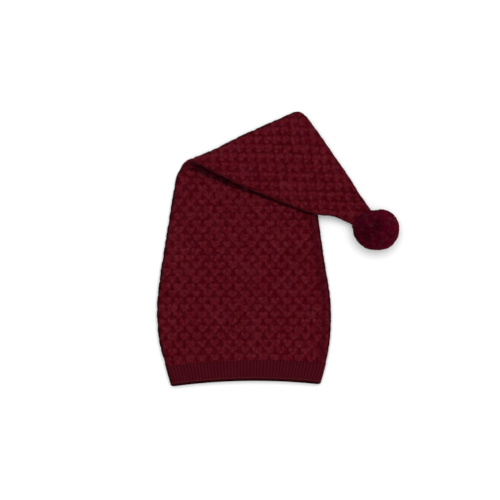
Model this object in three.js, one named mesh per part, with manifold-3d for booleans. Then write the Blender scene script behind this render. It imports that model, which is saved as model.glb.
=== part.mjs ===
// Pixie hat: one long knitted tube, ribbed at its mouth and narrowing to a tip that carries a wool pompom.
// It lies flat on its back, and its upper half is folded over to the front, across the crown.
// Millimetres, +Z up. +Y runs up the hat, so the mouth for the head faces -Y.
// The origin is on the flat of the crown's back, near the crown's middle.

import * as THREE from "three";
import { mergeVertices } from "three/addons/utils/BufferGeometryUtils.js";
import Module from "manifold-3d";

const wasm = await Module();
wasm.setup();
const { lerp, clamp, smoothstep, degToRad } = THREE.MathUtils;

// ---------------------------------------------------------------- driving sizes

const WALL = 3; // one layer of the knit
const GAP = 0.3; // between one piece and the next

// The tube before it is folded. Each row is a section straight across it.
//   up: height at which the section crosses X = 0      left, right: X of its two edges
//   slope: its climb to the right, for each mm          bow: how far its edges hang below its middle
//   deep: thickness of the flattened tube               front, back: swell of either side, at the middle
const SECTIONS = [
  { up: -118.5, left: -96, right: 98, slope: 0.015, bow: 6, deep: 14, front: 0.6, back: 0 }, // the hem
  { up: -91, left: -103.2, right: 105.2, slope: 0.02, bow: 5.5, deep: 14.5, front: 1.5, back: 0 },
  { up: -60, left: -111.6, right: 110.8, slope: 0.03, bow: 2, deep: 15, front: 2, back: 0 },
  { up: -20, left: -114.4, right: 111, slope: 0.05, bow: 0, deep: 15, front: 2, back: 0 },
  { up: 30, left: -110.6, right: 102.4, slope: 0.126, bow: 0, deep: 14.5, front: 2, back: 0 },
  { up: 80, left: -104.7, right: 93.8, slope: 0.238, bow: 0, deep: 12.5, front: 1, back: 0 },
  { up: 130, left: -98.2, right: 83.5, slope: 0.352, bow: 0, deep: 12, front: 0.5, back: 0 },
  { up: 188, left: -88.8, right: 70.6, slope: 0.445, bow: 0, deep: 12, front: 0, back: 0 }, // the fold starts
  { up: 233, left: -75.6, right: 63.6, slope: 0.445, bow: 0, deep: 12, front: 0, back: 0.5 }, // and ends
  { up: 270, left: -62.6, right: 57.8, slope: 0.345, bow: 0, deep: 12.5, front: 0, back: 1.5 },
  { up: 310, left: -44.8, right: 50.2, slope: 0.237, bow: 0, deep: 12.5, front: 0, back: 1.5 },
  { up: 350, left: -26, right: 42.8, slope: 0.13, bow: 0, deep: 12.5, front: 0, back: 1.5 },
  { up: 360, left: -20.2, right: 40.6, slope: 0.1, bow: 0, deep: 12.3, front: 0, back: 1.5 },
  { up: 372, left: -10.5, right: 37.6, slope: 0.1, bow: 0, deep: 12.2, front: 0, back: 1.5 },
  { up: 395, left: -1.5, right: 32, slope: 0.15, bow: 0, deep: 12, front: 0, back: 1 }, // the tip
];
const HEM = SECTIONS[0].up;
const JOINT = SECTIONS[1].up; // where the ribs end and the bubble knit begins
const TIP = SECTIONS.at(-1).up;
const TIP_CAP = 7; // length of the tip's round end

// The fold is a half turn over a straight axis that climbs to the right.
const FOLD = {
  angle: degToRad(24), // of its crest, from X
  start: 172, // distance of the bend's start from the origin, square to the crest
  radius: 13, // of the crown's back as it turns over
};

// The folded peak lies flat on the crown. Past the crown's side, a line that leans with Y, it sags.
const SAG = { drop: 8, run: 55, sideX: 98, sideY: 97, sideLean: -0.224 };
// Its lower rim stands up beside the fold: fully at one height of the tube, and not at the other two.
const RIM_LIFT = { height: 6, from: 212, full: 250, to: 325 };

// The ribs: `acrossFlat` and `roundRim` count half ribs, across each flat side and round each rim.
const RIB = { depth: 0.8, acrossFlat: 90, roundRim: 11 };
const CAST_OFF = 3.5; // height of the plain edge below the ribs
const HEM_FRONT_SHORT = 2.5; // how much higher the front layer ends than the back layer

const POMPOM = {
  x: 170.4,
  y: 77.5,
  z: 26.3, // a little less than its radius, since the wool is pressed flat where it rests
  radius: 28, // over the tufts
  core: 24, // of the close wool between them
  // The ball isn't quite round: its outline swells and draws in, in waves round it.
  waves: [
    { count: 2, depth: 0.08, from: degToRad(15) },
    { count: 3, depth: 0.035, from: degToRad(-57) },
  ],
  tufts: 60,
  tuftSides: 5,
  tuftWidth: 11.5,
  tuftRoot: 8, // its width where it leaves the core
  uneven: 0.7, // how much longer or shorter one tuft may be
};

// How finely the tube is faceted.
const KNIT_STOPS = { flat: 10, rim: 5 }; // steps across each flat side and round each rim
const TUBE_STEP = 24; // between sections where the tube runs straight
const BEND_STEPS = 4; // in each quarter turn of the fold

const COLORS = { bubbleKnit: 0x50101a, ribKnit: 0x420c15, wool: 0x3e0613 };

// ---------------------------------------------------------------- the flat tube

const COLUMNS = Object.keys(SECTIONS[0]).slice(1);
const sectionCurve = new THREE.CubicInterpolant(
  SECTIONS.map((row) => row.up),
  SECTIONS.flatMap((row) => COLUMNS.map((column) => row[column])),
  COLUMNS.length,
);

function sectionAt(up) {
  const values = sectionCurve.evaluate(up);
  return Object.fromEntries([["up", up], ...COLUMNS.map((column, i) => [column, values[i]])]);
}

// Stops round a section, from the left end of its back: each says on which side it is, and how far along.
function stopsAround(flat, rim) {
  const steps = { back: flat, right: rim, front: flat, left: rim };
  return Object.entries(steps).flatMap(([side, count]) =>
    Array.from({ length: count }, (_, i) => ({ side, along: i / count })),
  );
}

// The point of a section at one stop, `inset` below the tube's outer surface, before the fold.
// `across` runs from -1 at the left edge to 1 at the right edge.
function pointOf(section, { side, along }, inset) {
  const half = section.deep / 2;
  const radius = half - inset;
  const rimLeft = section.left + half;
  const rimRight = section.right - half;
  const turn = Math.PI * along;
  const swell = 4 * along * (1 - along);
  const places = {
    back: () => [lerp(rimLeft, rimRight, along), inset - section.back * swell],
    right: () => [rimRight + radius * Math.sin(turn), half - radius * Math.cos(turn)],
    front: () => [lerp(rimRight, rimLeft, along), section.deep - inset + section.front * swell],
    left: () => [rimLeft - radius * Math.sin(turn), half + radius * Math.cos(turn)],
  };
  const [x, z] = places[side]();
  const across = (2 * x - section.left - section.right) / (section.right - section.left);
  const shorter = HEM_FRONT_SHORT * clamp((JOINT - section.up) / (JOINT - HEM), 0, 1);
  const y = section.up + section.slope * x - section.bow * across ** 2 + (shorter * z) / section.deep;
  return { x, y, z, across, up: section.up };
}

// ---------------------------------------------------------------- the fold

const ALONG_CREST = new THREE.Vector2(Math.cos(FOLD.angle), Math.sin(FOLD.angle));
const OVER_CREST = new THREE.Vector2(-Math.sin(FOLD.angle), Math.cos(FOLD.angle));
const HALF_TURN = Math.PI * FOLD.radius;
const BEND_FROM = FOLD.start / OVER_CREST.y;
const CREST = (FOLD.start + HALF_TURN / 2) / OVER_CREST.y;
const BEND_TO = (FOLD.start + HALF_TURN) / OVER_CREST.y;

// Moves a point of the flat tube to its place on the folded hat.
function folded({ x, y, z, across, up }) {
  const flat = new THREE.Vector2(x, y);
  const past = flat.dot(OVER_CREST) - FOLD.start;
  const turn = clamp(past / FOLD.radius, 0, Math.PI);
  const beyond = Math.max(0, past - HALF_TURN);
  const reach = FOLD.start + Math.min(0, past) + (FOLD.radius - z) * Math.sin(turn) - beyond;
  const plan = ALONG_CREST.clone().multiplyScalar(flat.dot(ALONG_CREST)).addScaledVector(OVER_CREST, reach);
  const side = SAG.sideX + SAG.sideLean * (plan.y - SAG.sideY);
  const sag = beyond > 0 ? SAG.drop * smoothstep(plan.x - side, 0, SAG.run) : 0;
  const raised = smoothstep(up, RIM_LIFT.from, RIM_LIFT.full) - smoothstep(up, RIM_LIFT.full, RIM_LIFT.to);
  const lift = RIM_LIFT.height * raised * Math.max(0, -across) ** 2;
  return new THREE.Vector3(plan.x, plan.y, FOLD.radius - (FOLD.radius - z) * Math.cos(turn) - sag + lift);
}

function ringAt(up, stops, insetOf) {
  const section = sectionAt(up);
  return stops.map((stop, i) => folded(pointOf(section, stop, insetOf(i))));
}

// The crest's ring lies level. Each of the two pieces that meet there draws its own back by half the gap.
function crestRing(stops, insetOf, rise) {
  return ringAt(CREST, stops, insetOf).map((point) => point.setZ(point.z + rise));
}

// ---------------------------------------------------------------- meshes and solids

function evenly(from, to, steps) {
  return Array.from({ length: steps + 1 }, (_, i) => lerp(from, to, i / steps));
}

// A closed surface over rings of equal count, each anticlockwise seen from the ring before it.
// The last ring joins the first if `looped`; otherwise each end closes to its own middle point.
function skinOver(rings, looped) {
  const count = rings[0].length;
  const points = rings.flat();
  const faces = [];
  const strips = looped ? rings.length : rings.length - 1;
  for (let r = 0; r < strips; r++) {
    const here = r * count;
    const next = ((r + 1) % rings.length) * count;
    for (let i = 0; i < count; i++) {
      const j = (i + 1) % count;
      faces.push(here + i, next + i, next + j, here + i, next + j, here + j);
    }
  }
  const ends = looped ? [] : [0, rings.length - 1];
  for (const end of ends) {
    const middle = points.length;
    points.push(rings[end].reduce((sum, p) => sum.add(p), new THREE.Vector3()).divideScalar(count));
    for (let i = 0; i < count; i++) {
      const a = end * count + i;
      const b = end * count + ((i + 1) % count);
      faces.push(middle, ...(end ? [b, a] : [a, b]));
    }
  }
  return new THREE.BufferGeometry().setFromPoints(points).setIndex(faces);
}

function solidFrom(geometry) {
  return new wasm.Manifold(
    new wasm.Mesh({
      numProp: 3,
      vertProperties: geometry.attributes.position.array,
      triVerts: new Uint32Array(geometry.index.array),
    }),
  );
}

// A three.js shape as a solid: its corners are shared first, so that it is closed.
function shapeSolid(shape) {
  const bare = new THREE.BufferGeometry();
  bare.setAttribute("position", shape.attributes.position).setIndex(shape.index);
  return solidFrom(mergeVertices(bare, 1e-3));
}

function geometryFrom(solid) {
  const mesh = solid.getMesh();
  const geometry = new THREE.BufferGeometry();
  geometry.setAttribute("position", new THREE.BufferAttribute(new Float32Array(mesh.vertProperties), 3));
  return geometry.setIndex(new THREE.BufferAttribute(new Uint32Array(mesh.triVerts), 1));
}

function piece(name, geometry, color, roughness) {
  geometry.computeVertexNormals();
  const mesh = new THREE.Mesh(geometry, new THREE.MeshStandardMaterial({ color, roughness, metalness: 0 }));
  mesh.name = name;
  return mesh;
}

// ---------------------------------------------------------------- the knitted tube's pieces

const outside = () => 0;
const inside = () => WALL;

// The ribbed band: knit and purl columns all round, with a plain cast-off edge at the mouth.
function ribbedBand() {
  const stops = stopsAround(RIB.acrossFlat, RIB.roundRim);
  const ribbed = (i) => (i % 2) * RIB.depth;
  const sunk = () => RIB.depth;
  const top = JOINT - GAP;
  const rings = [
    ringAt(HEM, stops, outside),
    ringAt(HEM + CAST_OFF, stops, outside),
    ringAt(HEM + CAST_OFF + RIB.depth, stops, ribbed),
    ringAt(top - RIB.depth, stops, ribbed),
    ringAt(top, stops, sunk),
    ringAt(top, stops, inside),
    ringAt(HEM, stops, inside),
  ];
  return skinOver(rings, true);
}

// The crown: from the ribbed band up to the fold's crest, open at both ends.
function crown() {
  const stops = stopsAround(KNIT_STOPS.flat, KNIT_STOPS.rim);
  const straight = evenly(JOINT, BEND_FROM, Math.round((BEND_FROM - JOINT) / TUBE_STEP));
  const ups = [...straight, ...evenly(BEND_FROM, CREST, BEND_STEPS).slice(1, -1)];
  const skin = (insetOf) => {
    const rings = ups.map((up) => ringAt(up, stops, insetOf));
    return [...rings, crestRing(stops, insetOf, -GAP / 2)];
  };
  return skinOver([...skin(outside), ...skin(inside).reverse()], true);
}

// Rings round the tip's end, each smaller than the last, so that it closes in a blunt round.
function tipRings(stops, inset) {
  const { left, right, slope, deep } = sectionAt(TIP);
  const x = (left + right) / 2;
  const middle = folded({ x, y: TIP + slope * x, z: deep / 2, across: 0, up: TIP });
  const ring = ringAt(TIP, stops, () => inset);
  const mirrored = OVER_CREST.clone().multiplyScalar(-2 * OVER_CREST.y); // +Y, turned over the crest
  const ahead = new THREE.Vector3(mirrored.x, mirrored.y + 1, 0).multiplyScalar(TIP_CAP - inset);
  return [0.35, 0.7, 0.92].map((part) =>
    ring.map((point) => middle.clone().lerp(point, Math.sqrt(1 - part ** 3.5)).addScaledVector(ahead, part)),
  );
}

function peakRings(inset) {
  const stops = stopsAround(KNIT_STOPS.flat, KNIT_STOPS.rim);
  const insetOf = () => inset;
  const straight = evenly(BEND_TO, TIP, Math.round((TIP - BEND_TO) / TUBE_STEP));
  const ups = [...evenly(CREST, BEND_TO, BEND_STEPS).slice(1), ...straight.slice(1)];
  const tube = ups.map((up) => ringAt(up, stops, insetOf));
  return [crestRing(stops, insetOf, GAP / 2), ...tube, ...tipRings(stops, inset)];
}

// The peak: from the crest over the crown to the closed tip.
function peak() {
  return skinOver([...peakRings(WALL).reverse(), ...peakRings(0)], false);
}

// ---------------------------------------------------------------- the pompom

// One tuft, standing on +Y, from inside the core to `length` from the pompom's middle.
function tuft(length) {
  const width = POMPOM.tuftWidth / 2;
  const profile = [
    { radius: 0, y: POMPOM.core - 4 },
    { radius: POMPOM.tuftRoot / 2, y: POMPOM.core - 2 },
    { radius: width, y: length - 3 },
    { radius: width * 0.6, y: length - 0.7 },
    { radius: 0, y: length },
  ];
  return new THREE.LatheGeometry(
    profile.map(({ radius, y }) => new THREE.Vector2(radius, y)),
    POMPOM.tuftSides,
  );
}

// How far out the ball reaches in one direction of the plan, for each mm of its radius.
function reachToward(turn) {
  return POMPOM.waves.reduce((sum, wave) => sum + wave.depth * Math.cos(wave.count * (turn - wave.from)), 1);
}

// A close ball of wool under tufts spread evenly over it, pressed flat where it rests,
// with a seat cut for the tip that it is sewn to.
function pompom() {
  const goldenTurn = Math.PI * (3 - Math.sqrt(5));
  const standing = new THREE.Vector3(0, 1, 0);
  let ball = shapeSolid(new THREE.IcosahedronGeometry(POMPOM.core, 2));
  for (let i = 0; i < POMPOM.tufts; i++) {
    const height = 1 - (2 * i + 1) / POMPOM.tufts;
    const way = new THREE.Vector3().setFromSphericalCoords(1, Math.acos(height), i * goldenTurn);
    const length = POMPOM.radius + POMPOM.uneven * Math.sin(5 * i);
    const place = new THREE.Quaternion().setFromUnitVectors(standing, way);
    ball = ball.add(shapeSolid(tuft(length).rotateY(i).applyQuaternion(place)));
  }
  const size = 4 * POMPOM.radius;
  const aboveRest = new THREE.BoxGeometry(size, size, size).translate(POMPOM.x, POMPOM.y, size / 2);
  const seat = skinOver(peakRings(-GAP), false);
  return geometryFrom(
    ball
      .warp((point) => {
        const reach = reachToward(Math.atan2(point[1], point[0]));
        point[0] *= reach;
        point[1] *= reach;
      })
      .translate(POMPOM.x, POMPOM.y, POMPOM.z)
      .intersect(shapeSolid(aboveRest))
      .subtract(solidFrom(seat)),
  );
}

// ---------------------------------------------------------------- the hat

const hat = new THREE.Group();
hat.add(
  piece("ribbed_band", ribbedBand(), COLORS.ribKnit, 0.95),
  piece("crown", crown(), COLORS.bubbleKnit, 0.95),
  piece("peak", peak(), COLORS.bubbleKnit, 0.95),
  piece("pompom", pompom(), COLORS.wool, 1),
);

export default hat;
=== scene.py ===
# A pixie hat lying on a pale floor: one long tube of bubble knit, ribbed at its mouth, folded once across
# the crown, with a wool pompom at its tip. Metres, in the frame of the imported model: +Y runs up the hat.

import math

import bpy
import numpy as np
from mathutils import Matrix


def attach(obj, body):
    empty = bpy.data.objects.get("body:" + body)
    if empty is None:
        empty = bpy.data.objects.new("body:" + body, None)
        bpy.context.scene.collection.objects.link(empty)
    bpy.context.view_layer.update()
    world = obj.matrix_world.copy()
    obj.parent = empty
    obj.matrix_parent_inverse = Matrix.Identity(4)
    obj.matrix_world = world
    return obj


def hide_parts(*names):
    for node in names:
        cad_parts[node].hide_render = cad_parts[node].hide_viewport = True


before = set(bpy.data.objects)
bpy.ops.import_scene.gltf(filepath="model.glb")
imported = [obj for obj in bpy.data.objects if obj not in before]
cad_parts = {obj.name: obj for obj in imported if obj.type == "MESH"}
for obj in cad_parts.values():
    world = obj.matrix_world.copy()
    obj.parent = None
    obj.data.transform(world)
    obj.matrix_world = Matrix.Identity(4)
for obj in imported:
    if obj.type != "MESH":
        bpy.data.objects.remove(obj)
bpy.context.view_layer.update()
MM = 0.001

# ---------------------------------------------------------------- the tube's sizes, in millimetres

WALL = 3.0  # one layer of the knit
HEM, JOINT, TIP = -118.5, -91.0, 395.0  # the mouth, the end of the ribs and the tip
TIP_CAP, TIP_BLUNTNESS = 7.0, 3.5  # how far the closed end stands past the tip, and how square it is
TIP_RINGS = (0.2, 0.35, 0.5, 0.65, 0.78, 0.88, 0.95, 0.99)  # how far along the closed end each ring lies
HEM_FRONT_SHORT = 2.5  # how much higher the front layer ends than the back layer
NUDGE = 0.5  # a short step, to work out a direction from

# Sections straight across the flat tube: height, left and right edge, climb to the right, droop of the
# edges, thickness, and the swell of the front and of the back.
SECTIONS = np.array(
    [
        [HEM, -96, 98, 0.015, 6, 14, 0.6, 0],
        [JOINT, -103.2, 105.2, 0.02, 5.5, 14.5, 1.5, 0],
        [-60, -111.6, 110.8, 0.03, 2, 15, 2, 0],
        [-20, -114.4, 111, 0.05, 0, 15, 2, 0],
        [30, -110.6, 102.4, 0.126, 0, 14.5, 2, 0],
        [80, -104.7, 93.8, 0.238, 0, 12.5, 1, 0],
        [130, -98.2, 83.5, 0.352, 0, 12, 0.5, 0],
        [188, -88.8, 70.6, 0.445, 0, 12, 0, 0],
        [233, -75.6, 63.6, 0.445, 0, 12, 0, 0.5],
        [270, -62.6, 57.8, 0.345, 0, 12.5, 0, 1.5],
        [310, -44.8, 50.2, 0.237, 0, 12.5, 0, 1.5],
        [350, -26, 42.4, 0.13, 0, 12.5, 0, 1.5],
        [360, -20.2, 39.8, 0.1, 0, 12.3, 0, 1.5],
        [372, -10.5, 36.4, 0.1, 0, 12.2, 0, 1.5],
        [TIP, -1.5, 30.6, 0.15, 0, 12, 0, 1],
    ]
)
FOLD_ANGLE, FOLD_START, FOLD_RADIUS = math.radians(24), 172.0, 13.0
SAG = {"drop": 8.0, "run": 55.0, "side_x": 98.0, "side_y": 97.0, "lean": -0.224}
RIM_LIFT = {"height": 6.0, "start": 212.0, "full": 250.0, "end": 325.0}
ALONG_CREST = np.array([math.cos(FOLD_ANGLE), math.sin(FOLD_ANGLE)])
OVER_CREST = np.array([-math.sin(FOLD_ANGLE), math.cos(FOLD_ANGLE)])
HALF_TURN = math.pi * FOLD_RADIUS
TIP_AHEAD = np.array([0.0, 1.0]) - 2 * OVER_CREST[1] * OVER_CREST  # the way the tip points
CREST = (FOLD_START + HALF_TURN / 2) / OVER_CREST[1]
CREST_DIP = {"depth": 2.0, "along": 34.0, "run": 30.0}  # in the crest's outline, at a place along it
# The valley in the crown along the peak's rim, as wide at each x as the table says, and dark with painted
# shadow. It is at its full depth as far right as `full`, and gone at `end`, though its painted shadow runs
# on. Its sides are shares of its width, and it runs on under the rim.
VALLEY = {
    "x": (-80, -62, -45, -14, 10, 110),
    "width": (3, 10, 8.5, 6, 3.2, 2.2),
    "sides": (0.5, 1.25),
    "under_rim": (-20.0, -8.0),
    "depth": 6.0,
    "full": -20.0,
    "end": 60.0,
}
# The pinch at the valley's left end, shown by painted shade alone: none below the first height, and full
# above the second.
PINCH = {"x": -66.0, "y": 163.0, "length": 8.0, "width": 3.2, "lean": math.radians(-27)}
PINCH_HEIGHTS = (8.0, 14.0)
SEAM_INSET = 9.0  # from the crown's right edge to its side seam
FAR_FROM_SEAM = -99.0
BACK, RIGHT, FRONT, LEFT = range(4)  # the sides of the flat tube, in order round it

# ---------------------------------------------------------------- the knit's sizes

WALE, COURSE = 3.92, 3.04  # one stitch, across and up
BUBBLE = {
    "Wales in a bubble": 4.0,
    "Courses in a bubble": 3.0,
    "Wale width": WALE * MM,
    "Course height": COURSE * MM,
    "Foot drop": 2.1 * MM,
    "Foot radius": 3.5 * MM,
    "Head spread": 3.2 * MM,
    "Head rise": 1.7 * MM,
    "Head radius": 3.5 * MM,
    "Flank swell": 3.1 * MM,
    "Bubble rise": 0.5 * MM,
    "Gap depth": 2.0 * MM,
    "Wander": 1.7 * MM,
    "Unevenness": 0.18,
    "Seed": 7,
}
ROW_STEP = 211.0  # far more than the bubbles in a row, so that each bubble has a number of its own
WAIST = 0.75  # the height between a bubble's foot and heads, as a share of theirs
# Stops of each mesh across its back and its front, stops round each rim, and rows up the tube.
CROWN_CELLS = {"flat": (100, 190), "rim": 18, "rows": 272}
PEAK_CELLS = {"flat": (160, 70), "rim": 18, "rows": 205}
INNER_ROWS = 26
# How much flatter the bubbles are, as shares: round the rims, at the crest, where the fold presses the layers
# together, beyond the seam, next to the ribs and at the tip. Pairs say where that begins and is full.
FLATTER = {
    "rims": 0.65,
    "crest": 0.5,
    "crest_width": 9,
    "fold": 0.75,
    "fold_rims": 0.35,
    "fold_heights": (178, 188),
    "beyond_seam": 0.6,
    "seam_places": (-4, -1),
    "ribs": 0.65,
    "ribs_width": 3,
    "tip": 0.5,
}
OFF_FLOOR = 3 * MM  # knit that lies lower than this is raised, so that its bubbles rest on the floor
# Painted shade where the knit turns from the light. Pairs say between which values the shade grows or fades.
SHADE = {
    "crest": 1.2,
    "crest_facing": (0.72, 0.92),
    "crest_places": (-66, -50),
    "left": (1.3, 4.3),
    "right": (0.8, 3.6),
    "sides_end": (CREST - 30, CREST - 12),
    "end": (CREST - 10, CREST + 30),
    "band": 0.75,
    "band_left": (1, 5.5),
}
# Where the wool is darker: along the side seam, and painted shade where the sides turn and along the peak's
# left side.
SEAM_AND_PAINTED_SHADE = {
    "seam": 0.8,
    "seam_width": 4.0,
    "sides": 0.3,
    "sides_width": 10,
    "rims": 0.6,
    "rims_fade": (0.5, 2.5),
    "peak": 0.6,
    "peak_fade": (2, 8),
    "peak_start": (225, 240),
    "peak_end": (320, 345),
    "closed_end": 0.3,
}


def smoothstep(value, low, high):
    part = np.clip((value - low) / (high - low), 0, 1)
    return part * part * (3 - 2 * part)


# ---------------------------------------------------------------- the tube's shape


def measures_at(up):
    """The tube's measures at each height, on a smooth curve through the table of sections."""
    stations, last = SECTIONS[:, 0], len(SECTIONS) - 1
    after = np.clip(np.searchsorted(stations, up, side="right"), 1, last)
    before = after - 1
    far_before = np.where(after > 1, after - 2, after)
    far_after = np.where(after < last, after + 1, before)
    reach = stations[after] - stations[before]
    part = (up - stations[before]) / reach
    low = 0.5 * reach / (stations[before] - stations[far_before])
    high = 0.5 * reach / (stations[far_after] - stations[after])
    weights = (
        (far_before, -low * part**3 + 2 * low * part**2 - low * part),
        (before, (1 + low) * part**3 - (1.5 + 2 * low) * part**2 + (low - 0.5) * part + 1),
        (after, -(1 + high) * part**3 + (1.5 + high) * part**2 + 0.5 * part),
        (far_after, high * part**3 - high * part**2),
    )
    rows = sum(SECTIONS[row, 1:] * weight[..., None] for row, weight in weights)
    return np.moveaxis(rows, -1, 0)


def flat_tube(up, side, along, inset):
    """Points of the flat tube, `inset` below its outer surface, and where in the knit each of them lies."""
    left, right, slope, bow, deep, front, back = measures_at(up)
    half = deep / 2
    radius = half - inset
    rim_left, rim_right = left + half, right - half
    swell = 4 * along * (1 - along)
    turn = np.pi * along
    round_rim = half * np.minimum(turn, np.pi - turn)
    sides = [side == BACK, side == RIGHT, side == FRONT, side == LEFT]
    x_back = rim_left + (rim_right - rim_left) * along
    x_front = rim_right + (rim_left - rim_right) * along
    x = np.select(
        sides, [x_back, rim_right + radius * np.sin(turn), x_front, rim_left - radius * np.sin(turn)]
    )
    z = np.select(
        sides,
        [
            inset - back * swell,
            half - radius * np.cos(turn),
            deep - inset + front * swell,
            half + radius * np.cos(turn),
        ],
    )
    over = np.select(sides, [x_back, rim_right + round_rim, x_front, rim_left - round_rim])
    across = (2 * x - left - right) / (right - left)
    front_right = (side == FRONT) | ((side == RIGHT) & (along > 0.5))
    seam = np.where(front_right, over - (right - SEAM_INSET), FAR_FROM_SEAM)
    shorter = HEM_FRONT_SHORT * np.clip((JOINT - up) / (JOINT - HEM), 0, 1)
    y = up + slope * x - bow * across**2 + shorter * z / deep
    knit = {
        "up": up,
        "wales": over / WALE,
        "courses": (up + slope * over - JOINT) / COURSE,
        "seam": seam,
        "edges": np.stack([x - left, right - x], axis=-1),
    }
    return (x, y, z, across), knit


def folded(x, y, z, across, up):
    """Where points of the flat tube come to lie once it is folded over, in metres."""
    flat = np.stack([x, y], axis=-1)
    past = flat @ OVER_CREST - FOLD_START
    turn = np.clip(past / FOLD_RADIUS, 0, np.pi)
    beyond = np.maximum(0, past - HALF_TURN)
    reach = FOLD_START + np.minimum(0, past) + (FOLD_RADIUS - z) * np.sin(turn) - beyond
    from_dip = (flat @ ALONG_CREST - CREST_DIP["along"]) / CREST_DIP["run"]
    reach = reach - CREST_DIP["depth"] * np.sin(turn) * np.exp(-(from_dip**2))
    plan = (flat @ ALONG_CREST)[..., None] * ALONG_CREST + reach[..., None] * OVER_CREST
    side = SAG["side_x"] + SAG["lean"] * (plan[..., 1] - SAG["side_y"])
    sag = np.where(beyond > 0, SAG["drop"] * smoothstep(plan[..., 0] - side, 0, SAG["run"]), 0)
    raised = smoothstep(up, RIM_LIFT["start"], RIM_LIFT["full"])
    raised = raised - smoothstep(up, RIM_LIFT["full"], RIM_LIFT["end"])
    lift = RIM_LIFT["height"] * raised * np.maximum(0, -across) ** 2
    height = FOLD_RADIUS - (FOLD_RADIUS - z) * np.cos(turn) - sag + lift
    return np.concatenate([plan, height[..., None]], axis=-1) * MM


def tube_points(up, side, along, inset=0.0):
    """Points on the finished hat, the way out of the knit at each, and its place in the knit."""
    up, side, along, inset = np.broadcast_arrays(up, side, along, np.asarray(inset, float))
    flat, knit = flat_tube(up, side, along, inset)
    here = folded(*flat, up)
    outward = here - folded(*flat_tube(up, side, along, inset + NUDGE)[0], up)
    outward /= np.linalg.norm(outward, axis=-1, keepdims=True)
    valley = beside_rim(here) * ((side == FRONT) & (up < CREST))
    full = smoothstep(here[..., 0] / MM, VALLEY["end"], VALLEY["full"])
    here[..., 2] -= VALLEY["depth"] * MM * valley * full
    # Painted shade goes with each point too: the shadow in the valley under the peak's rim, and at the pinch.
    return {"at": here, "outward": outward, "sunk": np.maximum(valley, pinched(here))} | knit


def peak_rim(start=222, stops=40):
    """The plan of the peak's left rim, once it is folded over, in millimetres."""
    up = np.linspace(start, TIP, stops)
    flat, _ = flat_tube(up, np.full(stops, LEFT), np.full(stops, 0.5), 0.0)
    return folded(*flat, up)[:, :2].T / MM


PEAK_RIM = peak_rim()


# This share sets both the valley's depth and its painted shadow under the peak's rim.
def beside_rim(at):
    """How deep in the valley along the peak's rim each place lies, from 0 to 1. Places are in metres."""
    x, y = at[..., 0] / MM, at[..., 1] / MM
    gap = (np.interp(x, *PEAK_RIM) - y) * math.cos(FOLD_ANGLE)
    width = np.interp(x, VALLEY["x"], VALLEY["width"])
    start = smoothstep(x, VALLEY["x"][0], VALLEY["x"][1])
    near, far = VALLEY["sides"]
    return start * (1 - smoothstep(gap, near * width, far * width)) * smoothstep(gap, *VALLEY["under_rim"])


def pinched(at):
    """The painted shade of the pinch at the fold's left end at each place, from 0 to 1. Places are in metres.
    """
    x, y, z = at[..., 0] / MM - PINCH["x"], at[..., 1] / MM - PINCH["y"], at[..., 2] / MM
    lean = PINCH["lean"]
    past = (x * math.cos(lean) + y * math.sin(lean)) / PINCH["length"]
    beside = (y * math.cos(lean) - x * math.sin(lean)) / PINCH["width"]
    return np.exp(-(past**2) - beside**2) * smoothstep(z, *PINCH_HEIGHTS)


def stops_round(back, rim, front):
    """Stops round a section, from the left end of its back: the side each is on, and how far along it."""
    counts = {BACK: back, RIGHT: rim, FRONT: front, LEFT: rim}
    side = np.concatenate([np.full(count, name) for name, count in counts.items()])
    along = np.concatenate([np.arange(count) / count for count in counts.values()])
    return side, along


def tip_middle():
    """The middle of the section at the tip."""
    left, right, slope, _, deep, _, _ = measures_at(np.array(TIP))
    x = (left + right) / 2
    return folded(x, TIP + slope * x, deep / 2, np.array(0.0), TIP)


def tip_rings(side, along, inset):
    """Rings round the tip's end, each smaller than the last, so that it closes in a blunt round."""
    ring = tube_points(TIP, side, along, inset)
    middle, ahead = tip_middle(), np.append(TIP_AHEAD, 0)
    rings = []
    for part in TIP_RINGS:
        narrow = math.sqrt(1 - part**TIP_BLUNTNESS)
        smaller = {
            "at": middle + (ring["at"] - middle) * narrow + ahead * (TIP_CAP - inset) * MM * part,
            "outward": ring["outward"] * narrow + ahead * part,
            "wales": ring["wales"] * narrow,
            "courses": ring["courses"] + TIP_CAP * part / COURSE,
        }
        rings.append(ring | smaller)
    return rings


# ---------------------------------------------------------------- node trees


class Field:
    """A value inside a node tree: arithmetic on it adds the nodes that work it out."""

    def __init__(self, socket):
        self.socket = socket

    def reckon(self, operation, *values):
        node = self.socket.id_data.nodes.new("ShaderNodeMath")
        node.operation = operation
        feed(node, dict(enumerate(values)))
        return Field(node.outputs[0])

    def __add__(self, other):
        return self.reckon("ADD", self, other)

    def __sub__(self, other):
        return self.reckon("SUBTRACT", self, other)

    def __rsub__(self, other):
        return self.reckon("SUBTRACT", other, self)

    def __mul__(self, other):
        return self.reckon("MULTIPLY", self, other)

    def __truediv__(self, other):
        return self.reckon("DIVIDE", self, other)

    def __mod__(self, other):
        return self.reckon("FLOORED_MODULO", self, other)

    def __pow__(self, other):
        return self.reckon("POWER", self, other)

    def __abs__(self):
        return self.reckon("ABSOLUTE", self)

    def floor(self):
        return self.reckon("FLOOR", self)

    def at_least(self, low):
        return self.reckon("MAXIMUM", self, low)

    def at_most(self, high):
        return self.reckon("MINIMUM", self, high)

    def clamped(self):
        return self.at_least(0.0).at_most(1.0)


def feed(node, inputs):
    """Sets or links a node's inputs, each given by its name or number."""
    for key, value in inputs.items():
        if isinstance(value, Field):
            node.id_data.links.new(value.socket, node.inputs[key])
        else:
            node.inputs[key].default_value = value


def add(tree, kind, inputs=None, output=0, **settings):
    """Adds a node to a tree and gives one of its outputs."""
    node = tree.nodes.new(kind)
    for name, value in settings.items():
        setattr(node, name, value)
    feed(node, inputs or {})
    return Field(node.outputs[output])


def split(vector):
    """The three parts of a vector."""
    node = vector.socket.id_data.nodes.new("ShaderNodeSeparateXYZ")
    feed(node, {0: vector})
    return [Field(socket) for socket in node.outputs]


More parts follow.
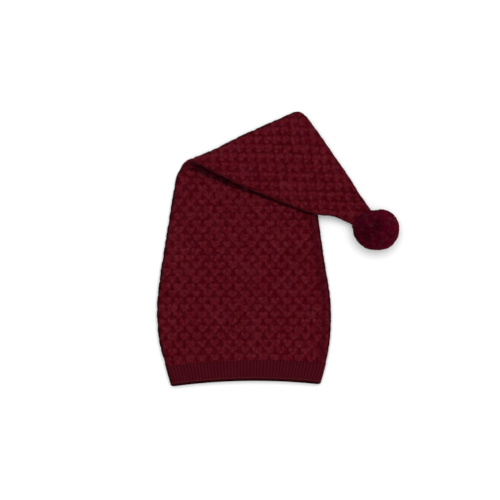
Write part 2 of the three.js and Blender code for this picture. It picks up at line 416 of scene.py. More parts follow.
def new_tree(name, sizes):
    """A Geometry Nodes tree with a named input for each size, and those inputs as fields."""
    tree = bpy.data.node_groups.new(name, "GeometryNodeTree")
    interface = tree.interface
    interface.new_socket("Geometry", in_out="OUTPUT", socket_type="NodeSocketGeometry")
    interface.new_socket("Geometry", in_out="INPUT", socket_type="NodeSocketGeometry")
    interface.new_socket("Material", in_out="INPUT", socket_type="NodeSocketMaterial")
    for label, value in sizes.items():
        kind = "NodeSocketInt" if isinstance(value, int) else "NodeSocketFloat"
        interface.new_socket(label, in_out="INPUT", socket_type=kind)
    entry = tree.nodes.new("NodeGroupInput")
    return tree, {socket.name: Field(socket) for socket in entry.outputs if socket.name}


def close_tree(tree, geometry, material):
    """Ends a tree: instances made real, smooth, in its material."""
    real = add(tree, "GeometryNodeRealizeInstances", {"Geometry": geometry})
    smooth = add(tree, "GeometryNodeSetShadeSmooth", {"Geometry": real})
    dressed = add(tree, "GeometryNodeSetMaterial", {"Geometry": smooth, "Material": material})
    feed(tree.nodes.new("NodeGroupOutput"), {0: dressed})
    return tree


def run_tree(piece, tree, material, sizes):
    """Runs a tree on a piece and keeps the outcome as the piece's own plain mesh."""
    modifier = piece.modifiers.new(tree.name, "NODES")
    modifier.node_group = tree
    for item in tree.interface.items_tree:
        if item.in_out == "INPUT" and item.name in {"Material", *sizes}:
            modifier[item.identifier] = material if item.name == "Material" else sizes[item.name]
    shaped = piece.evaluated_get(bpy.context.evaluated_depsgraph_get())
    mesh = bpy.data.meshes.new_from_object(shaped)
    piece.modifiers.remove(modifier)
    piece.data = mesh
    return piece


def named(tree, name, kind="FLOAT_VECTOR"):
    return add(tree, "GeometryNodeInputNamedAttribute", {"Name": name}, data_type=kind)


def keep(tree, geometry, name, value):
    """Stores a number on the points of a geometry, for the materials to read."""
    return add(
        tree,
        "GeometryNodeStoreNamedAttribute",
        {"Geometry": geometry, "Name": name, "Value": value},
        data_type="FLOAT",
        domain="POINT",
    )


def chance(tree, low, high, number, seed):
    """A random number between two limits, the same for all that share a number."""
    node = tree.nodes.new("FunctionNodeRandomValue")
    node.data_type = "FLOAT"
    feed(node, {2: low, 3: high, "ID": number, "Seed": seed})
    return Field(node.outputs[1])


def set_on_points(tree, points, shape, beside, beside_axis, turn, scale):
    """Sets a shape on each point: its Z the way out, its `beside_axis` towards `beside`, and then turned."""
    upright = add(
        tree,
        "FunctionNodeAxesToRotation",
        {"Primary Axis": named(tree, "outward"), "Secondary Axis": beside},
        primary_axis="Z",
        secondary_axis=beside_axis,
    )
    placed = add(
        tree,
        "FunctionNodeRotateRotation",
        {"Rotation": upright, "Rotate By": turn},
        rotation_space="LOCAL",
    )
    inputs = {"Points": points, "Instance": shape, "Rotation": placed, "Scale": scale}
    return add(tree, "GeometryNodeInstanceOnPoints", inputs)


def bubble_tree():
    """Raises the knit into rows of bubbles, half a bubble apart from row to row.

    Each is a plump V: a foot that two heads rise from, one to each side.
    """
    tree, size = new_tree("raise_bubbles", BUBBLE)
    knit = named(tree, "knit")
    wales, courses, amount = split(knit)
    uneven = add(tree, "ShaderNodeTexNoise", {"Vector": knit, "Scale": 0.7, "Detail": 1.0}, output="Color")
    wander = [(part - 0.5) * size["Wander"] * 2.0 for part in split(uneven)]
    spread, seed = size["Unevenness"], size["Seed"]
    leg_x, leg_y = size["Head spread"], size["Head rise"] + size["Foot drop"]
    leg_squared = leg_x * leg_x + leg_y * leg_y

    def bubbles_in(row):
        """The height of the bubbles of one row, from 0 to 1."""
        shift = (row % 2.0) * size["Wales in a bubble"] * 0.5
        column = ((wales - shift) / size["Wales in a bubble"]).floor()
        number = column + row * ROW_STEP
        jog, hop, swell = (chance(tree, spread * -1.0, spread, number, seed + i) for i in (1.0, 2.0, 3.0))
        middle = (column + 0.5) * size["Wales in a bubble"] + shift
        beside = (wales - middle) * size["Wale width"] + wander[0] + jog * size["Head radius"]
        above = (courses - (row + 0.5) * size["Courses in a bubble"]) * size["Course height"]
        x, y = abs(beside), above + wander[1] + hop * size["Head radius"] + size["Foot drop"]
        part = ((x * leg_x + y * leg_y) / leg_squared).clamped()
        off_x, off_y = x - part * leg_x, y - part * leg_y
        radius = size["Foot radius"] + (size["Head radius"] - size["Foot radius"]) * part
        radius = (radius + part * (1.0 - part) * size["Flank swell"]) * (swell + 1.0)
        round_off = (1.0 - (off_x * off_x + off_y * off_y) / (radius * radius)).at_least(0.0) ** 0.5
        return round_off * ((part * 2.0 - 1.0) ** 2.0 * (1.0 - WAIST) + WAIST)

    own_row = courses / size["Courses in a bubble"]
    next_row = own_row.floor() + ((own_row % 1.0).reckon("ROUND", own_row % 1.0) * 2.0 - 1.0)
    puff = bubbles_in(own_row.floor()).at_least(bubbles_in(next_row))
    height = puff * (size["Bubble rise"] + size["Gap depth"]) - size["Gap depth"]
    offset = add(
        tree,
        "ShaderNodeVectorMath",
        {0: named(tree, "outward"), "Scale": height * amount},
        operation="SCALE",
    )
    raised = add(tree, "GeometryNodeSetPosition", {"Geometry": size["Geometry"], "Offset": offset})
    return close_tree(tree, keep(tree, raised, "puff", puff), size["Material"])


# ---------------------------------------------------------------- materials

# From the gaps to the tops: painted shade in the gaps and crevices, and a pale painted sheen on the tops.
KNIT_TONES = [
    (0.0, (0.036, 0.0, 0.0012)),
    (0.35, (0.078, 0.0, 0.0036)),
    (0.62, (0.095, 0.0022, 0.0072)),
    (1.0, (0.124, 0.0112, 0.0186)),
]
KNIT_COLOURS = {
    "cool": (0.070, 0.0030, 0.0150, 1),
    "fuzz_glint": (0.180, 0.0265, 0.0420, 1),
    "seam_and_painted_shade": (0.039, 0.0016, 0.0063, 1),
    "shade": (0.006, 0.0, 0.0006, 1),
}
# The rib wool from its grooves, in painted shade, to its ribs; a paler cast-off edge; and the painted shade.
RIB_COLOURS = {
    "groove": (0.044, 0.0016, 0.0052, 1),
    "rib": (0.090, 0.0062, 0.0126, 1),
    "cast_off": (0.096, 0.0125, 0.0165, 1),
    "shade": (0.012, 0.0006, 0.0010, 1),
}
WOOL_COLOURS = {
    "deep": (0.027, 0.0001, 0.0034, 1),
    "plain": (0.083, 0.0004, 0.0096, 1),
    "pale": (0.072, 0.0130, 0.0190, 1),
}
KNIT_FINISH = {
    "Roughness": 0.92,
    "Specular IOR Level": 0.02,
    "Sheen Weight": 0.02,
    "Sheen Roughness": 0.5,
    "Sheen Tint": (1.0, 0.3, 0.35, 1),
}
WOOL_FINISH = {
    "Roughness": 0.95,
    "Specular IOR Level": 0.02,
    "Sheen Weight": 0.12,
    "Sheen Roughness": 0.4,
    "Sheen Tint": (1.0, 0.03, 0.18, 1),
}


def sockets(material):
    """The shader of a new material."""
    material.use_nodes = True
    return material.node_tree.nodes["Principled BSDF"]


def attribute(tree, name, output="Fac"):
    return add(tree, "ShaderNodeAttribute", output=output, attribute_name=name)


def mix(tree, share, first, second):
    """A colour between two others."""
    node = tree.nodes.new("ShaderNodeMix")
    node.data_type = "RGBA"
    feed(node, {0: share, 6: first, 7: second})
    return Field(node.outputs[2])


def noise(tree, scale, detail=2.0, roughness=0.5):
    where = add(tree, "ShaderNodeTexCoord", output="Object")
    inputs = {"Vector": where, "Scale": scale, "Detail": detail, "Roughness": roughness}
    return add(tree, "ShaderNodeTexNoise", inputs)


def stitch_height(wales, courses):
    """The relief of plain knit: two plump legs to each stitch, rising outwards from its foot."""
    beside = abs(((wales + 0.5) % 1.0) * 2.0 - 1.0)
    leg = abs(beside - 0.5) * 2.0
    up = (courses - beside * 0.85) % 1.0
    return (1.0 - leg * leg).at_least(0.0) ** 0.5 * (up * (1.0 - up) * 2.4 + 0.4)


def relief(tree, strength, depth, height):
    """A shader's relief: how strong it is, how deep in metres, and its height at each place."""
    return add(tree, "ShaderNodeBump", {"Strength": strength, "Distance": depth, "Height": height})


def tones(tree, share, stops):
    """A colour that passes through several, each given with its place from 0 to 1."""
    node = tree.nodes.new("ShaderNodeValToRGB")
    ramp = node.color_ramp
    while len(ramp.elements) < len(stops):
        ramp.elements.new(0.5)
    for element, (place, colour) in zip(ramp.elements, stops):
        element.position, element.color = place, (*colour, 1)
    feed(node, {0: share})
    return Field(node.outputs[0])


def bubble_knit():
    """Matt crimson wool in bubbles, in painted shade between them, each stitch standing in relief."""
    material = bpy.data.materials.new("bubble_knit")
    shader, tree = sockets(material), material.node_tree
    wales, courses, _ = split(attribute(tree, "knit", "Vector"))
    puff, seam_and_painted_shade, sunk = (attribute(tree, name) for name in ("puff", "seam_and_painted_shade", "sunk"))
    stitches = stitch_height(wales, courses)
    mottled = noise(tree, scale=45.0, detail=4.0, roughness=0.6)
    fibres = noise(tree, scale=420.0, detail=4.0, roughness=0.7)
    # Darker in the gaps and crevices and paler on the tops, as painted shade and sheen, over random tone.
    height = puff * 0.5 + stitches * 0.35 + (mottled - 0.5) * 0.5 + (fibres - 0.5) * 1.2
    lit = (height + 0.05 - seam_and_painted_shade * 0.2).clamped()
    wool = tones(tree, lit, KNIT_TONES)
    cooler = noise(tree, scale=60.0)
    wool = mix(tree, (cooler - 0.5) * 1.2, wool, KNIT_COLOURS["cool"])
    # Painted glints: pale specks where the fibres would catch the light, more of them on the bubbles' tops.
    fuzz_glint = noise(tree, scale=240.0, roughness=0.7)
    fuzz_glint = ((fuzz_glint - 0.5) * 1.7 + 0.05) * (puff * 0.6 + 0.4)
    wool = mix(tree, fuzz_glint, wool, KNIT_COLOURS["fuzz_glint"])
    # Darker along the seam, and painted shade along the sides and the peak's left side.
    wool = mix(tree, seam_and_painted_shade * 0.6, wool, KNIT_COLOURS["seam_and_painted_shade"])
    feed(shader, {"Base Color": mix(tree, sunk * 0.7, wool, KNIT_COLOURS["shade"])})
    yarn = relief(tree, strength=1.0, depth=1.1 * MM, height=stitches + (fibres - 0.5) * 1.5)
    feed(shader, {"Normal": yarn} | KNIT_FINISH)
    return material


def rib_knit():
    """The same wool in plain ribs, with painted shade in the grooves between them."""
    material = bpy.data.materials.new("rib_knit")
    shader, tree = sockets(material), material.node_tree
    raised = attribute(tree, "puff")
    fibres = noise(tree, scale=1500.0, roughness=0.7)
    mottled = noise(tree, scale=80.0, detail=3.0)
    lit = (raised * 0.8 + (mottled - 0.5) * 0.5 + (fibres - 0.5) * 0.3).clamped()
    wool = mix(tree, lit, RIB_COLOURS["groove"], RIB_COLOURS["rib"])
    wool = mix(tree, attribute(tree, "pale") * 0.8, wool, RIB_COLOURS["cast_off"])
    wool = mix(tree, attribute(tree, "sunk") * 0.85, wool, RIB_COLOURS["shade"])
    yarn = relief(tree, strength=0.6, depth=0.25 * MM, height=fibres)
    feed(shader, {"Base Color": wool, "Normal": yarn} | KNIT_FINISH)
    return material


def pompom_wool():
    """Cut wool, deeper in colour than the knit, each strand a little different, with painted shade and light.
    """
    material = bpy.data.materials.new("pompom_wool")
    shader, tree = sockets(material), material.node_tree
    fibres = noise(tree, scale=900.0, roughness=0.7)
    clumps = noise(tree, scale=120.0)
    shade = (attribute(tree, "shade") * 0.7 + (clumps - 0.5) * 2.4 + 0.15).clamped()
    wool = mix(tree, shade, WOOL_COLOURS["deep"], WOOL_COLOURS["plain"])
    pale = noise(tree, scale=170.0)
    wool = mix(tree, (pale - 0.52) * 3.0, wool, WOOL_COLOURS["pale"])
    yarn = relief(tree, strength=0.7, depth=0.3 * MM, height=fibres)
    feed(shader, {"Base Color": wool, "Normal": yarn} | WOOL_FINISH)
    return material


# ---------------------------------------------------------------- meshes


def new_piece(name, points, faces):
    mesh = bpy.data.meshes.new(name)
    mesh.from_pydata(points, [], faces)
    piece = bpy.data.objects.new(name, mesh)
    bpy.context.scene.collection.objects.link(piece)
    return piece


def set_attribute(piece, name, values):
    """Keeps a number or a vector on each point of a piece."""
    kind, part = ("FLOAT_VECTOR", "vector") if values.ndim == 2 else ("FLOAT", "value")
    layer = piece.data.attributes.new(name, kind, "POINT")
    layer.data.foreach_set(part, np.ascontiguousarray(values, dtype=np.float32).ravel())


def join(piece, *others):
    """Makes one piece of several."""
    with bpy.context.temp_override(active_object=piece, selected_editable_objects=[piece, *others]):
        bpy.ops.object.join()
    return piece


def stacked(rings):
    """Rings of points, stacked."""
    return {key: np.stack([ring[key] for ring in rings]) for key in rings[0]}


def skin_faces(count, width, looped):
    """Faces between rings of equal count. The last ring joins the first, or each end closes to a point."""
    here = np.arange(count if looped else count - 1)[:, None] * width
    there = (here + width) % (count * width)
    stop = np.arange(width)[None, :]
    after = (stop + 1) % width
    quads = np.stack([here + stop, there + stop, there + after, here + after], axis=-1).reshape(-1, 4)
    faces = quads.tolist()
    if not looped:
        last, ends = (count - 1) * width, (count * width, count * width + 1)
        for i in range(width):
            j = (i + 1) % width
            faces.append([ends[0], i, j])
            faces.append([ends[1], last + j, last + i])
    return faces


def knit_piece(name, rings, looped):
    """A closed piece of knit over its rings, with its place in the knit on every point."""
    whole = stacked(rings)
    count, width = whole["wales"].shape
    points = whole["at"].reshape(-1, 3)
    outward = whole["outward"].reshape(-1, 3)
    knit = np.stack([whole["wales"], whole["courses"], whole["amount"]], axis=-1).reshape(-1, 3)
    if not looped:
        for ring in (slice(0, width), slice(-width, None)):
            points = np.vstack([points, points[: count * width][ring].mean(axis=0)])
            outward = np.vstack([outward, outward[: count * width][ring].mean(axis=0)])
            knit = np.vstack([knit, knit[: count * width][ring].mean(axis=0)])
    piece = new_piece(name, points.tolist(), skin_faces(count, width, looped))
    set_attribute(piece, "outward", outward)
    set_attribute(piece, "knit", knit)
    set_attribute(piece, "seam_and_painted_shade", seam_and_painted_shade_share(whole, len(points)))
    # Painted shade: the valley and the pinch, and where the knit turns from the light.
    sunk = np.maximum(whole["sunk"], sideways(whole))
    set_attribute(piece, "sunk", np.append(sunk, np.zeros(len(points) - count * width)))
    return piece


def sideways(whole):
    """Painted shade at each point where the knit turns from the light: along its sides and over the crest."""
    facing = whole["outward"] / np.linalg.norm(whole["outward"], axis=-1, keepdims=True)
    crest = smoothstep(facing[..., :2] @ OVER_CREST, *SHADE["crest_facing"])
    crest = crest * smoothstep(whole["at"][..., 0] / MM, *SHADE["crest_places"])
    left, right = whole["edges"][..., 0], whole["edges"][..., 1]
    sides = 1 - np.minimum(smoothstep(left, *SHADE["left"]), smoothstep(right, *SHADE["right"]))
    sides = sides * (1 - smoothstep(whole["up"], *SHADE["sides_end"]))
    return np.maximum(SHADE["crest"] * crest, sides) * (1 - smoothstep(whole["up"], *SHADE["end"]))


def seam_and_painted_shade_share(whole, count):
    """How much darker each point is, 0 to 1: along the seam, and painted shade where the sides turn."""
    left, nearest = whole["edges"][..., 0], whole["edges"].min(axis=-1)
    seam = SEAM_AND_PAINTED_SHADE["seam"] * np.exp(-((whole["seam"] / SEAM_AND_PAINTED_SHADE["seam_width"]) ** 2))
    turned = SEAM_AND_PAINTED_SHADE["sides"] * np.clip(1 - nearest / SEAM_AND_PAINTED_SHADE["sides_width"], 0, 1)
    turned = turned + SEAM_AND_PAINTED_SHADE["rims"] * (1 - smoothstep(nearest, *SEAM_AND_PAINTED_SHADE["rims_fade"]))
    in_peak = smoothstep(whole["up"], *SEAM_AND_PAINTED_SHADE["peak_start"]) * (1 - smoothstep(whole["up"], *SEAM_AND_PAINTED_SHADE["peak_end"]))
    shaded = SEAM_AND_PAINTED_SHADE["peak"] * (1 - smoothstep(left, *SEAM_AND_PAINTED_SHADE["peak_fade"])) * in_peak
    share = np.maximum(np.maximum(seam, turned), shaded).ravel()
    return np.append(share, np.full(count - len(share), SEAM_AND_PAINTED_SHADE["closed_end"]))


def rings_at(ups, side, along, inset, amount):
    """Rings of the tube at each height. `amount` says how far the bubbles stand out at each stop."""
    rings = []
    for up in ups:
        ring = tube_points(np.array(up), side, along, inset)
        flatter = FLATTER["beyond_seam"] * smoothstep(ring["seam"], *FLATTER["seam_places"])
        ring["amount"] = amount(up, side, along) * (1 - flatter)
        height = ring["at"][:, 2]
        height += BUBBLE["Bubble rise"] * ring["amount"] * (1 - smoothstep(height, 0, OFF_FLOOR))
        rings.append(ring)
    return rings


def flat_amount(up, side, along):
    return np.zeros(len(side))


def bubble_amount(up, side, along):
    """Bubbles stand less where the layers press together, round the rims and next to the ribs."""
    rims = (side == LEFT) | (side == RIGHT)
    amount = np.where(rims, 1 - FLATTER["rims"] * np.sin(np.pi * along), 1.0)
    amount = amount * (1 - FLATTER["crest"] * np.exp(-(((up - CREST) / FLATTER["crest_width"]) ** 2)))
    pressed = smoothstep(up, *FLATTER["fold_heights"])
    amount = amount * np.where(side == FRONT, 1 - FLATTER["fold"] * pressed, 1.0)
    amount = np.where(rims, amount * (1 - FLATTER["fold_rims"] * pressed), amount)
    from_ribs = smoothstep(up, JOINT, JOINT + FLATTER["ribs_width"])
    return amount * (1 - FLATTER["ribs"] + FLATTER["ribs"] * from_ribs)


def crown_knit(tree, material):
    side, along = stops_round(CROWN_CELLS["flat"][0], CROWN_CELLS["rim"], CROWN_CELLS["flat"][1])
    outer = rings_at(np.linspace(JOINT, CREST, CROWN_CELLS["rows"]), side, along, 0.0, bubble_amount)
    inner = rings_at(np.linspace(CREST, JOINT, INNER_ROWS), side, along, WALL, flat_amount)
    return run_tree(knit_piece("crown_knit", outer + inner, True), tree, material, BUBBLE)


def peak_knit(tree, material):
    side, along = stops_round(PEAK_CELLS["flat"][0], PEAK_CELLS["rim"], PEAK_CELLS["flat"][1])

    def closed(ups, inset, amount):
        rings = rings_at(ups, side, along, inset, amount)
        tip = tip_rings(side, along, inset)
        for ring in tip:
            ring["amount"] = rings[-1]["amount"] * (1 - FLATTER["tip"])
        return rings + tip

    outer = closed(np.linspace(CREST, TIP, PEAK_CELLS["rows"]), 0.0, bubble_amount)
    inner = closed(np.linspace(CREST, TIP, INNER_ROWS), WALL, flat_amount)
    return run_tree(knit_piece("peak_knit", inner[::-1] + outer, False), tree, material, BUBBLE)


# ---------------------------------------------------------------- the ribbed band

STITCH = {
    "Leg length": 1.35 * MM,
    "Leg width": 0.62 * MM,
    "Leg height": 0.6 * MM,
    "Leg lean": math.radians(22),
}
RIB_WALES, RIB_COURSES = 100, 15  # ribs round the band, and stitches up each
CAST_OFF = 3.5  # height of the corded edge
BACKING_STEPS = 6  # stops from one rib to the next
# The backing's ribs lie below the knit's outer surface by `ridge`, and the grooves between them by `groove`
# more. The lip rounds it off at the mouth, from the outer to the inner side.
BACKING = {"ridge": 0.9, "groove": 0.7, "lip_height": 1.5, "lip_inset": 1.7, "lip_depth": 1.3}


def stitch_tree():
    """Sets a plump leg of yarn on each point, leaning to the side that the point says."""
    tree, size = new_tree("set_stitches", STITCH)
    leg = add(tree, "GeometryNodeMeshUVSphere", {"Segments": 6, "Rings": 5, "Radius": 1.0})
    lengths = {0: size["Leg width"], 1: size["Leg length"], 2: size["Leg height"]}
    scale = add(tree, "ShaderNodeCombineXYZ", lengths)
    lean = named(tree, "lean", "FLOAT") * size["Leg lean"]
    turn = add(tree, "FunctionNodeAxisAngleToRotation", {"Axis": (0.0, 0.0, 1.0), "Angle": lean})
    legs = set_on_points(tree, size["Geometry"], leg, named(tree, "upward"), "Y", turn, scale)
    return close_tree(tree, legs, size["Material"])


def stops_by_length(count):
    """Stops set evenly round the band: the side each is on, and how far along it."""
    left, right, _, _, deep, _, _ = measures_at(np.array((HEM + JOINT) / 2))
    lengths = [right - left - deep, np.pi * deep / 2] * 2
    starts = np.concatenate([[0], np.cumsum(lengths)])
    where = (np.arange(count) + 0.5) / count * starts[-1]
    side = np.searchsorted(starts, where, side="right") - 1
    return side, (where - starts[side]) / np.array(lengths)[side]


def stitch_rows(ups, inset, spread, lean, pale):
    """Points for rows of stitches, a pair of legs on every rib."""
    side, along = stops_by_length(RIB_WALES)
    rows = []
    for up in ups:
        here = tube_points(np.array(up), side, along, inset)
        above = tube_points(np.array(up + NUDGE), side, along, inset)
        upward = above["at"] - here["at"]
        upward /= np.linalg.norm(upward, axis=-1, keepdims=True)
        across = np.cross(upward, here["outward"])
        for way in (-1, 1):
            row = {"at": here["at"] + across * way * spread * MM, "outward": here["outward"]}
            row |= {"upward": upward, "lean": np.full(len(side), -way * lean)}
            # Painted shade on the band's left side, where it turns from the light.
            row["sunk"] = SHADE["band"] * (1 - smoothstep(here["edges"][..., 0], *SHADE["band_left"]))
            rows.append(row | {"puff": np.full(len(side), 0.6), "pale": np.full(len(side), pale)})
    return rows


def rib_backing(material):
    """The band's own closed knit under its stitches, lower between the ribs and rounded at the mouth."""
    side, along = stops_by_length(RIB_WALES * BACKING_STEPS)
    phase = 2 * np.pi * (np.arange(len(side)) + 0.5) / BACKING_STEPS
    grooved = BACKING["ridge"] + BACKING["groove"] * (0.5 + 0.5 * np.cos(phase))
    lip_up, lip_inset = HEM + BACKING["lip_height"], BACKING["lip_inset"]
    lip = [
        (lip_up - BACKING["lip_height"] * math.sin(turn), lip_inset - BACKING["lip_depth"] * math.cos(turn))
        for turn in np.linspace(0, np.pi, 7)
    ]
    outer = [(up, grooved) for up in np.linspace(JOINT, HEM + CAST_OFF, 10)]
    inner = [(up, np.full(len(side), WALL)) for up in np.linspace(HEM + 2, JOINT, 6)]
    rings = [tube_points(np.array(up), side, along, inset) for up, inset in outer + lip + inner]
    for ring in rings:
        ring["amount"] = np.zeros(len(side))
        # Painted shade along the lip, where the back layer lies in the front one's shadow.
        ring["sunk"] = 1 - smoothstep(ring["up"], lip_up, HEM + 3)
    piece = knit_piece("rib_backing", rings[::-1], True)
    piece.data.materials.append(material)
    piece.data.shade_smooth()
    return piece


def ribbed_band(tree, material):
    """A grooved backing, a column of stitches on every rib, and a corded edge along the mouth."""
    ups = np.linspace(HEM + CAST_OFF + 1.6, JOINT - 0.8, RIB_COURSES)
    rows = stitch_rows(ups, inset=0.55, spread=0.62, lean=1, pale=0.0)
    rows += stitch_rows([HEM + 2.9], inset=0.5, spread=1.05, lean=-2.6, pale=1.0)
    points = {key: np.concatenate([row[key] for row in rows]) for key in rows[0]}
    piece = new_piece("band_knit", points["at"].tolist(), [])
    for name in ("outward", "upward", "lean", "puff", "pale", "sunk"):
        set_attribute(piece, name, points[name])
    return join(run_tree(piece, tree, material, STITCH), rib_backing(material))


# ---------------------------------------------------------------- the pompom

POMPOM = {"middle": (170.4, 77.5, 26.3), "radius": 27.6, "core": 22.0, "strands": 6500}
PRESSED = ((2, 0.08, math.radians(15)), (3, 0.035, math.radians(-57)))  # waves round it: count, height, turn
BESIDE_TIP = ((106, 0.075), (170, 0.045))  # swells beside the tip: turn in degrees, height
SWELL_WIDTH = 0.16  # of each of them, as an angle in radians
HUG = {"height": 3.4, "width": 5.0}  # how much more wool there is against the tip, and how far from it
TIP_FLARE = 0.38  # how much wider the tip gets to each side, for each millimetre back from its end
SPARE = 1.0  # between the tip and the wool
CLEAR_OF_FLOOR = 1.5
# How much darker the strands next to the tip are, in painted shade, and how much lighter those on the far
# side are, in painted light.
STRAND_SHADE = {"near_tip": 0.6, "near_places": (0.1, 0.9), "far_side": 0.5, "far_places": (0.5, 0.95)}
STRAND_LENGTH = 10.0
STRAND = {
    "Strand length": STRAND_LENGTH * MM,
    "Root radius": 0.45 * MM,
    "End radius": 0.85 * MM,
    "Lean": 0.18,
    "Comb": 2.2,
    "Unevenness": 0.06,
    "Seed": 11,
}


def ways_out(count):
    """Directions spread evenly over a ball."""
    height = 1 - (2 * np.arange(count) + 1) / count
    turn = np.arange(count) * np.pi * (3 - math.sqrt(5))
    wide = np.sqrt(1 - height**2)
    return np.stack([wide * np.cos(turn), wide * np.sin(turn), height], axis=-1)


def pompom_outline(ways):
    """How far the pompom's outline lies each way from its middle, a little out of round."""
    turn, flat = np.arctan2(ways[:, 1], ways[:, 0]), 1 - ways[:, 2] ** 2
    waves = sum(high * np.cos(count * (turn - at)) for count, high, at in PRESSED)
    swells = sum(high * np.exp(-(((turn - math.radians(at)) / SWELL_WIDTH) ** 2)) for at, high in BESIDE_TIP)
    return POMPOM["radius"] * (1 + flat * waves + flat**3 * swells)


def from_tip(places):
    """How far places lie from the tip's surface, with a little to spare; less than 0 inside it."""
    left, right, slope, _, deep, _, _ = measures_at(np.array(TIP))
    beside = np.array([-TIP_AHEAD[1], TIP_AHEAD[0]])
    off = places - tip_middle() / MM
    past = off[..., :2] @ (TIP_AHEAD - slope * beside)
    half_wide = (right - left) / 2 + TIP_FLARE * np.maximum(0, -past)
    part = 1 - np.clip(past / (TIP_CAP + SPARE), 0, 1) ** TIP_BLUNTNESS
    side = np.maximum(0, np.abs(off[..., :2] @ beside) - (half_wide - deep / 2))
    beyond = np.maximum(0, past - TIP_CAP - SPARE)
    return np.sqrt(side**2 + off[..., 2] ** 2 + beyond**2) - (deep / 2 + SPARE) * np.sqrt(part)


def wool_reach(ways):
    """How far the wool can reach each way from the pompom's middle: to its outline, the floor or the tip."""
    outline = pompom_outline(ways)
    away = from_tip(POMPOM["middle"] + ways * outline[:, None])
    outline = outline + HUG["height"] * np.exp(-((np.maximum(0, away) / HUG["width"]) ** 2))
    radii = outline[:, None] * np.linspace(0.07, 1, 60)
    places = POMPOM["middle"] + ways[:, None, :] * radii[..., None]
    taken = (from_tip(places) < 0) | (places[..., 2] < CLEAR_OF_FLOOR)
    first = np.where(taken.any(axis=1), taken.argmax(axis=1), radii.shape[1] - 1)
    return radii[np.arange(len(ways)), first]


def strand_tree():
    """Stands a strand of cut wool on each point, thicker at its open end and leaning a little its own way."""
    tree, size = new_tree("stand_strands", STRAND)
    strand = add(
        tree,
        "GeometryNodeMeshCone",
        {
            "Vertices": 5,
            "Side Segments": 1,
            "Radius Top": size["End radius"],
            "Radius Bottom": size["Root radius"],
            "Depth": size["Strand length"],
        },
        fill_type="TRIANGLE_FAN",
    )
    number = add(tree, "GeometryNodeInputIndex")
    combed = split(add(tree, "ShaderNodeTexNoise", {"Scale": 70.0, "Detail": 1.0}, output="Color"))
    leans = {
        i: chance(tree, size["Lean"] * -1.0, size["Lean"], number, size["Seed"] + i)
        + (combed[i] - 0.5) * size["Comb"]
        for i in (0, 1)
    }
    turn = add(tree, "FunctionNodeEulerToRotation", {0: add(tree, "ShaderNodeCombineXYZ", leans)})
    longer = chance(tree, size["Unevenness"] * -1.0, size["Unevenness"], number, size["Seed"] + 2.0)
    scale = add(tree, "ShaderNodeCombineXYZ", {0: 1.0, 1: 1.0, 2: longer + 1.0})
    strands = set_on_points(tree, size["Geometry"], strand, (0.3, 0.5, 0.8), "X", turn, scale)
    return close_tree(tree, strands, size["Material"])


def pompom_core(material, rows=24, stops=40):
    """The close wool under the strands."""
    dip = np.pi * (np.arange(rows) + 0.5) / rows
    turn = 2 * np.pi * np.arange(stops) / stops
    ways = np.stack(
        [
            np.sin(dip)[:, None] * np.cos(turn),
            np.sin(dip)[:, None] * np.sin(turn),
            np.cos(dip)[:, None] * np.ones(stops),
        ],
        axis=-1,
    ).reshape(-1, 3)
    ways = np.vstack([ways, [[0, 0, 1], [0, 0, -1]]])
    reach = np.minimum(POMPOM["core"], wool_reach(ways) - 1.5)
    points = POMPOM["middle"] + ways * reach[:, None]
    piece = new_piece("pompom_core", (points * MM).tolist(), skin_faces(rows, stops, False))
    piece.data.materials.append(material)
    piece.data.shade_smooth()
    set_attribute(piece, "shade", np.zeros(len(points)))
    return piece


def pompom_strands(tree, material):
    ways = ways_out(POMPOM["strands"])
    roots = POMPOM["middle"] + ways * (wool_reach(ways)[:, None] - STRAND_LENGTH)
    piece = new_piece("pompom_strands", (roots * MM).tolist(), [])
    set_attribute(piece, "outward", ways)
    # Painted shade next to the tip and painted light on the far side, over a random tone for each strand.
    near_tip = smoothstep(ways @ [-OVER_CREST[1], -OVER_CREST[0], 0.2], *STRAND_SHADE["near_places"])
    far_side = smoothstep(ways[:, 0], *STRAND_SHADE["far_places"])
    shade = np.random.default_rng(5).random(len(ways))
    shade = shade - STRAND_SHADE["near_tip"] * near_tip + STRAND_SHADE["far_side"] * far_side
    set_attribute(piece, "shade", shade)
    return join(run_tree(piece, tree, material, STRAND), pompom_core(material))


# ---------------------------------------------------------------- stage, light and camera


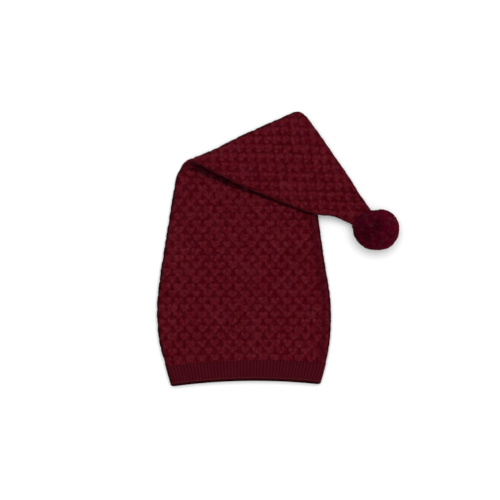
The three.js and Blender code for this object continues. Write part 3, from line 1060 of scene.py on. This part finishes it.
def floor(reach=5):
    corners = [(-reach, -reach, 0), (reach, -reach, 0), (reach, reach, 0), (-reach, reach, 0)]
    plane = new_piece("floor", corners, [(0, 1, 2, 3)])
    material = bpy.data.materials.new("pale_floor")
    pale = {"Base Color": (0.91, 0.91, 0.91, 1), "Roughness": 0.9, "Specular IOR Level": 0.1}
    feed(sockets(material), pale)
    plane.data.materials.append(material)


def soft_light(name, at, size, watts):
    """A large soft light, aimed at the middle of the hat."""
    light = bpy.data.lights.new(name, "AREA")
    light.shape, light.size, light.energy = "DISK", size, watts
    lamp = bpy.data.objects.new(name, light)
    lamp.location = at
    aim = lamp.location.copy()
    aim.negate()
    lamp.rotation_euler = aim.to_track_quat("-Z", "Y").to_euler()
    lamp.visible_camera = False
    bpy.context.scene.collection.objects.link(lamp)


def camera(middle, width):
    """A camera straight above, which sees a stretch of floor of the given width round its middle."""
    lens = bpy.data.cameras.new("camera")
    lens.lens, lens.sensor_width = 200, 36
    lens.clip_end = 50
    eye = bpy.data.objects.new("camera", lens)
    eye.location = (*middle, width * lens.lens / lens.sensor_width)
    bpy.context.scene.collection.objects.link(eye)
    bpy.context.scene.camera = eye


def surroundings(strength):
    world = bpy.data.worlds.new("room")
    world.use_nodes = True
    feed(world.node_tree.nodes["Background"], {"Color": (1, 1, 1, 1), "Strength": strength})
    bpy.context.scene.world = world
    bpy.context.scene.view_settings.view_transform = "Standard"


# ---------------------------------------------------------------- the hat

camera(middle=(0.0065, 0.052), width=0.65)
surroundings(strength=0.57)
floor()
soft_light("overhead", at=(0.12, 0.74, 4.0), size=3.3, watts=138)

bubbles, knit = bubble_tree(), bubble_knit()
crown = crown_knit(bubbles, knit)
peak = peak_knit(bubbles, knit)
band = ribbed_band(stitch_tree(), rib_knit())
pompom = pompom_strands(strand_tree(), pompom_wool())

for piece, node, finish in (
    (crown, "crown", "bubble_knit"),
    (peak, "peak", "bubble_knit"),
    (band, "ribbed_band", "rib_knit"),
    (pompom, "pompom", "pompom_wool"),
):
    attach(piece, "root")
    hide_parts(node)
